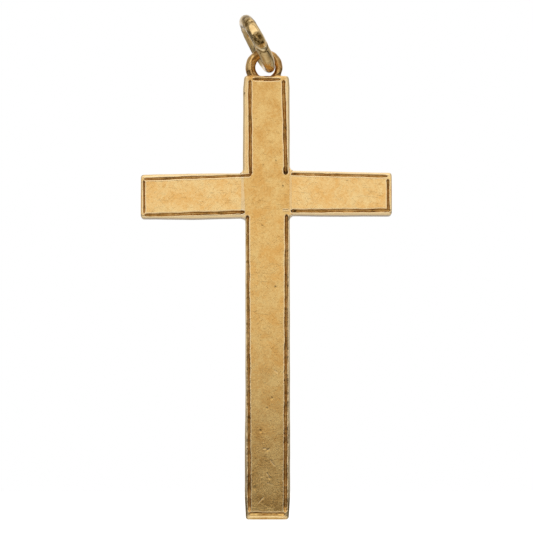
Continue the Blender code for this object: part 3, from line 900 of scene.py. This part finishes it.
def loopPiece():
    centre = toFrame(loopSizes["centreX"], -thickness / 2, topZ + loopSizes["centreUp"])
    piece = growWire("hangingLoop", {
        "Bend radius": loopBend * mm, "Wire radius": loopSizes["top"] * mm, "Steps": 181, "Sides": 56,
        "Unevenness": 0.05, "Seed": 1.7, "Material": materials["loop"]})
    finishWire(piece, joined=True)
    flat = pointsOf(piece.data) / mm
    angle = np.arctan2(flat[:, 1], flat[:, 0])
    swollen = loopWire(angle) / loopSizes["top"]
    outwards = (np.hypot(flat[:, 0], flat[:, 1]) - loopBend) * swollen + loopSizes["outer"] - loopWire(angle)
    pressed = np.stack([outwards * np.cos(angle), outwards * np.sin(angle), flat[:, 2] * swollen], 1)
    setPoints(piece.data, pressed * mm)
    turnInto(piece, centre, Vector((1, 0, 0)), Vector((0, 0, 1)))
    points, normals = pointsOf(piece.data), normalsOf(piece.data)
    (hammer, hammerSize), (nick, nickSize) = loopSizes["hammer"], loopSizes["nicks"]
    nicks = np.clip(lumps(points, 6, nickSize * mm) - 0.4, 0, 1)
    hammered = hammer * lumps(points, 5, hammerSize * mm) - nick * nicks
    points = points + normals * (hammered * mm)[:, None]
    foot = np.clip(1 - (points[:, 2] - restHeight) / (loopSizes["footDirt"] * mm), 0, 1)
    points[:, 2] = np.maximum(points[:, 2], restHeight)  # filed flat where it meets the top
    setPoints(piece.data, points)
    paint(piece.data, 0.5 * foot ** 1.5, np.zeros(len(points)))
    return piece


def collarPiece(side, sign):
    # the bead of solder round one foot of the loop
    wire = loopSizes[side]
    footX = math.sqrt((loopSizes["outer"] - wire) ** 2 - loopSizes["centreUp"] ** 2)
    piece = growWire(side + "LoopFootSolder", {
        "Bend radius": (wire - 0.02) * mm, "Wire radius": bead["wire"] * mm, "Steps": 73, "Sides": 20,
        "Unevenness": 0.35, "Seed": 4.0 + sign, "Material": materials["solder"]})
    finishWire(piece, joined=True)
    piece.data.transform(Matrix.Diagonal((bead["stretch"], 1.0, 1.0, 1.0)))
    x = loopSizes["centreX"] + sign * (footX + bead["outwards"])
    turnInto(piece, toFrame(x, -thickness / 2, topZ + bead["up"]), Vector((1, 0, 0)), Vector((0, 1, 0)))
    points = pointsOf(piece.data)
    points[:, 2] = np.maximum(points[:, 2], restHeight)
    setPoints(piece.data, points)
    paint(piece.data, np.full(len(points), 0.35), np.zeros(len(points)))
    return piece


ringSizes = {
    "bend": 2.64, "wire": 0.655,
    "worn": 0.545, "wornFrom": (-85, -45), "wornTo": (5, 38),  # thinner where it bears on the loop
    "centre": (-0.91, -1.107, 3.209), "lean": 27.5, "turn": 1.8,  # mm from the top's middle, degrees
    "joint": 76.0, "jointWidth": 0.16, "jointProud": 0.008, "jointOverlap": 1.5,
    "hollow": (87.5, 18.0, 0.52),  # where the hammered hollow is, its half length in degrees and half width in mm
    "facet": (107.0, 121.5),  # the flat filed above it faces the first angle and runs out at the second
}
ringMarks = {
    # depth and size
    "hammer": (0.018, 0.95), "pits": (0.05, 0.45), "crumples": (0.05, 0.55),
    # place as a share of the hollow's size, width and height
    "lip": (1.1, 0.11, 0.022), "step": (1.34, 0.07, 0.035),
    "mottling": ((120, 125), (146, 156), 0.42),  # angles it comes in and goes out over, size
}


def ringFrame():
    lean, turn = math.radians(ringSizes["lean"]), math.radians(ringSizes["turn"])
    down = Vector((math.sin(lean), 0, -math.cos(lean)))
    across = Vector((math.cos(lean), 0, math.sin(lean)))
    front = Vector((0, -math.cos(turn), 0)) + across * math.sin(turn)
    cx, cy, cz = ringSizes["centre"]
    return toFrame(cx, -thickness / 2 + cy, topZ + cz), down, front


def aroundRing(points):
    # each point's angle round the ring, from its lowest point towards the front, in degrees
    centre, down, front = ringFrame()
    offset = points - np.array(centre)
    return np.degrees(np.arctan2(offset @ np.array(front), offset @ np.array(down)))


def ringRelief(points, angle):
    # wear under the loop, the hollow with its lip, pits and hammer marks, as mm outwards from the round wire; also the
    # grime, the painted dark reflection in the hollow and the painted lip highlight
    centre, down, front = ringFrame()
    offset = (points - np.array(centre)) / mm
    sideways = offset @ np.array(down.cross(front))
    fromCentre = np.hypot(offset @ np.array(down), offset @ np.array(front))
    outside = smoothStep(fromCentre - ringSizes["bend"], 0.15, 0.4)
    wear = smoothStep(angle, *ringSizes["wornFrom"]) * (1 - smoothStep(angle, *ringSizes["wornTo"]))
    middle, halfLength, halfWidth = ringSizes["hollow"]
    edge = np.hypot((angle - middle) / halfLength, sideways / halfWidth)
    hollow = (1 - smoothStep(edge, 0.7, 1.0)) * outside
    lipAt, lipWidth, lipHeight = ringMarks["lip"]
    # the lip is raised and also painted bright as a highlight
    lip = np.exp(-((edge - lipAt) / lipWidth) ** 2) * outside * np.where(angle < middle + 4, 1.0, 0.35)
    stepAt, stepWidth, stepDepth = ringMarks["step"]
    step = np.exp(-((edge - stepAt) / stepWidth) ** 2) * outside * smoothStep(middle - angle, 8, 14)
    (hammer, hammerSize), (pit, pitSize) = ringMarks["hammer"], ringMarks["pits"]
    crumple, crumpleSize = ringMarks["crumples"]
    crumpled = lumps(points, 9, crumpleSize * mm)
    pits = np.clip(lumps(points, 14, pitSize * mm, 12) - 0.8, 0, 1)
    height = -(ringSizes["wire"] - ringSizes["worn"]) * wear - hammer * lumps(points, 3, hammerSize * mm) - pit * pits
    height = height - hollow * (crumple + crumple * crumpled) + lipHeight * lip - stepDepth * step
    # dark mottling over the top of the near half
    comesIn, goesOut, mottleSize = ringMarks["mottling"]
    mottling = smoothStep(lumps(points, 17, mottleSize * mm), -0.1, 0.35)
    cap = smoothStep(angle, *comesIn) * (1 - smoothStep(angle, *goesOut)) * mottling
    # grime in the pits, darker along the step and over the mottled cap, and black in the hollow as a painted dark
    # reflection
    grime = np.clip(pits * 1.6 + hollow * (0.5 + 0.95 * (crumpled > 0.1)) + step + 0.75 * cap, 0, 1)
    return {"height": height, "grime": grime, "lip": np.clip(lip, 0, 1) * (1 - step)}


def fileFacet(points, angle):
    # cuts the ring's outside back to one flat
    centre, down, front = ringFrame()
    facing, runOut = (math.radians(degrees) for degrees in ringSizes["facet"])
    normal = np.array(down) * math.cos(facing) + np.array(front) * math.sin(facing)
    level = (ringSizes["bend"] + ringSizes["wire"]) * math.cos(runOut - facing) * mm
    height = (points - np.array(centre)) @ normal - level
    middle = ringSizes["hollow"][0]
    cut = np.clip(height, 0, None) * smoothStep(angle, middle + 12, middle + 16)
    return points - cut[:, None] * normal, smoothStep(cut / mm, 0.002, 0.02)


def ringArc(name, wire, start, end, steps, sides, unevenness, seed, material):
    # a part of the ring between two angles, already leaning in its place
    centre, down, front = ringFrame()
    piece = growWire(name, {
        "Bend radius": ringSizes["bend"] * mm, "Wire radius": wire * mm,
        "Start angle": math.radians(start), "Sweep angle": math.radians(end - start),
        "Steps": steps, "Sides": sides, "Unevenness": unevenness, "Seed": seed, "Material": material})
    turnInto(piece, centre, down, front)
    finishWire(piece, joined=False)
    points = pointsOf(piece.data)
    angle = aroundRing(points)
    return piece, points, normalsOf(piece.data), angle, ringRelief(points, angle)


joint = ringSizes["joint"]
jointHalf = math.degrees(ringSizes["jointWidth"] / 2 / ringSizes["bend"])


def ringPiece():
    piece, points, normals, angle, shape = ringArc(
        "jumpRing", ringSizes["wire"], joint + jointHalf, joint + 360 - jointHalf, 420, 80, 0.02, 8.2,
        materials["ring"])
    points = points + normals * (shape["height"] * mm)[:, None]
    points, flat = fileFacet(points, angle)
    setPoints(piece.data, points)
    # the filed flat takes a faint painted highlight and no grime
    paint(piece.data, shape["grime"] * (1 - flat), np.maximum(shape["lip"], 0.1 * flat))
    return piece


def ringSolderPiece():
    half = jointHalf + ringSizes["jointOverlap"]
    piece, points, normals, _, shape = ringArc(
        "jumpRingSolder", ringSizes["wire"] + ringSizes["jointProud"], joint - half, joint + half, 15, 64, 0.0, 2.0,
        materials["solder"])
    height = shape["height"] + 0.006 * lumps(points, 31, 0.4 * mm)
    setPoints(piece.data, points + normals * (mm * height)[:, None])
    # the lip is painted bright as a highlight
    paint(piece.data, shape["grime"], shape["lip"])
    return piece


loop = loopPiece()
collars = {"left": collarPiece("left", -1), "right": collarPiece("right", 1)}
ring = ringPiece()
ringSolder = ringSolderPiece()
print("wire pieces built")

# ---- the end plates keep their own shape

for node in ("top_end_plug", "foot_end_plug", "left_end_plug", "right_end_plug"):
    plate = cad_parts[node]
    chosen = materials["arms"] if node.startswith(("left", "right")) else materials["upright"]
    for slot in plate.material_slots:
        slot.material = chosen

# ---- what each piece stands for

for piece, node, body, slot in (
    (upright, "upright_tube", "cross", "upright_gold"),
    (arms["left"], "left_arm_tube", "cross", "arm_gold"),
    (arms["right"], "right_arm_tube", "cross", "arm_gold"),
    (seams["left"], "left_arm_solder_seam", "cross", "solder"),
    (seams["right"], "right_arm_solder_seam", "cross", "solder"),
    (loop, "hanging_loop", "cross", "loop_gold"),
    (collars["left"], "left_loop_foot_solder", "cross", "solder"),
    (collars["right"], "right_loop_foot_solder", "cross", "solder"),
    (ring, "jump_ring", "jump_ring", "ring_gold"),
    (ringSolder, "jump_ring_solder", "jump_ring", "solder"),
):
    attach(piece, body)
    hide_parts(node)
print("pieces ride on their bodies")
